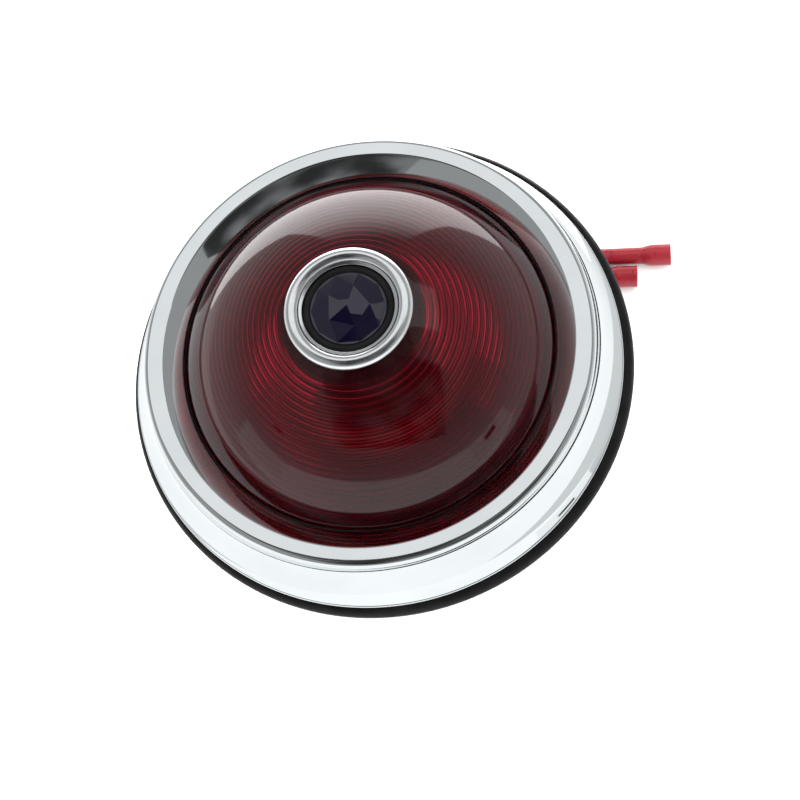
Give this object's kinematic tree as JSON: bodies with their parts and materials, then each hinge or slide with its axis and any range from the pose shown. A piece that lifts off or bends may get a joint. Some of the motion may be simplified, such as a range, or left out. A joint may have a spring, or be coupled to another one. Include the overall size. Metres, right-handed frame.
{
  "type": "round tail light",
  "caption": "Round flush-mount tail light: chrome bezel on a rubber pad, domed red glass lens with a blue faceted dot, bayonet socket and bulb, rear studs, leads with crimp connectors.",
  "frame": {"origin": "on the lens axis, in the plane of the rubber pad's rear face", "axes": "+Z out of the lens along its axis; studs, socket and leads on the -Z side; one stud on +Y, connectors towards +X"},
  "size_m": [0.1163, 0.1066, 0.0692],
  "materials": {
    "chrome": "polished plating on die-cast zinc",
    "red_glass": "pressed red signal glass",
    "blue_glass": "cut deep blue glass",
    "clear_glass": "clear bulb glass",
    "black_glass": "black bulb base glass",
    "rubber": "matte moulded rubber",
    "reflector": "bright plated pressed steel",
    "zinc_steel": "bright zinc plate",
    "spring_steel": "drawn spring wire",
    "brass": "drawn brass",
    "solder": "solder",
    "phenolic": "brown phenolic board",
    "fibre": "vulcanised fibre",
    "nickel_wire": "nickel wire",
    "tungsten": "coiled tungsten wire",
    "red_vinyl": "translucent vinyl",
    "black_pvc": "wire insulation",
    "red_pvc": "wire insulation",
    "tinned_copper": "tin plate on copper",
    "copper": "bare copper strands"
  },
  "bodies": {
    "lamp": {"bezel": "chrome", "lens": "red_glass", "lens_seal": "rubber", "bucket": "reflector", "bucket_gasket": "rubber", "bucket_screws": "zinc_steel", "bucket_washers": "zinc_steel", "mounting_pad": "rubber", "mounting_studs": "zinc_steel", "stud_washers": "zinc_steel", "stud_lock_washers": "spring_steel", "stud_nuts": "zinc_steel", "dot_ring": "chrome", "dot_gasket": "rubber", "dot_seal": "rubber", "dot_crystal": "blue_glass", "dot_circlip": "spring_steel", "dot_washer": "fibre", "dot_nut": "zinc_steel", "socket_shell": "zinc_steel", "socket_rivets": "zinc_steel", "socket_insulator": "phenolic", "wire_grommet": "rubber", "plunger_spring": "spring_steel", "tail_lead": "black_pvc", "brake_lead": "red_pvc", "tail_connector": "red_vinyl", "brake_connector": "red_vinyl", "tail_barrel": "tinned_copper", "brake_barrel": "tinned_copper", "stripped_ends": "copper"},
    "contact_plunger": {"contact_disc": "phenolic", "contact_rivets": "brass"},
    "bulb": {"bulb_globe": "clear_glass", "bulb_base": "brass", "bulb_pins": "brass", "bulb_insulator": "black_glass", "bulb_contacts": "solder", "bulb_stem": "clear_glass", "filament_supports": "nickel_wire", "tail_filament": "tungsten", "brake_filament": "tungsten"}
  },
  "joints": [
    {"name": "contact_push", "type": "slide", "parent": "lamp", "child": "contact_plunger", "axis": [0, 0, -1], "range_m": [0, 0.0022], "stiffness_N_per_m": 1500, "springref_m": -0.003, "deforming": ["plunger_spring"]},
    {"name": "bulb_twist", "type": "hinge", "parent": "contact_plunger", "child": "bulb", "pos_m": [0, 0, 0], "axis": [0, 0, 1], "range_deg": [0, 22]}
  ]
}
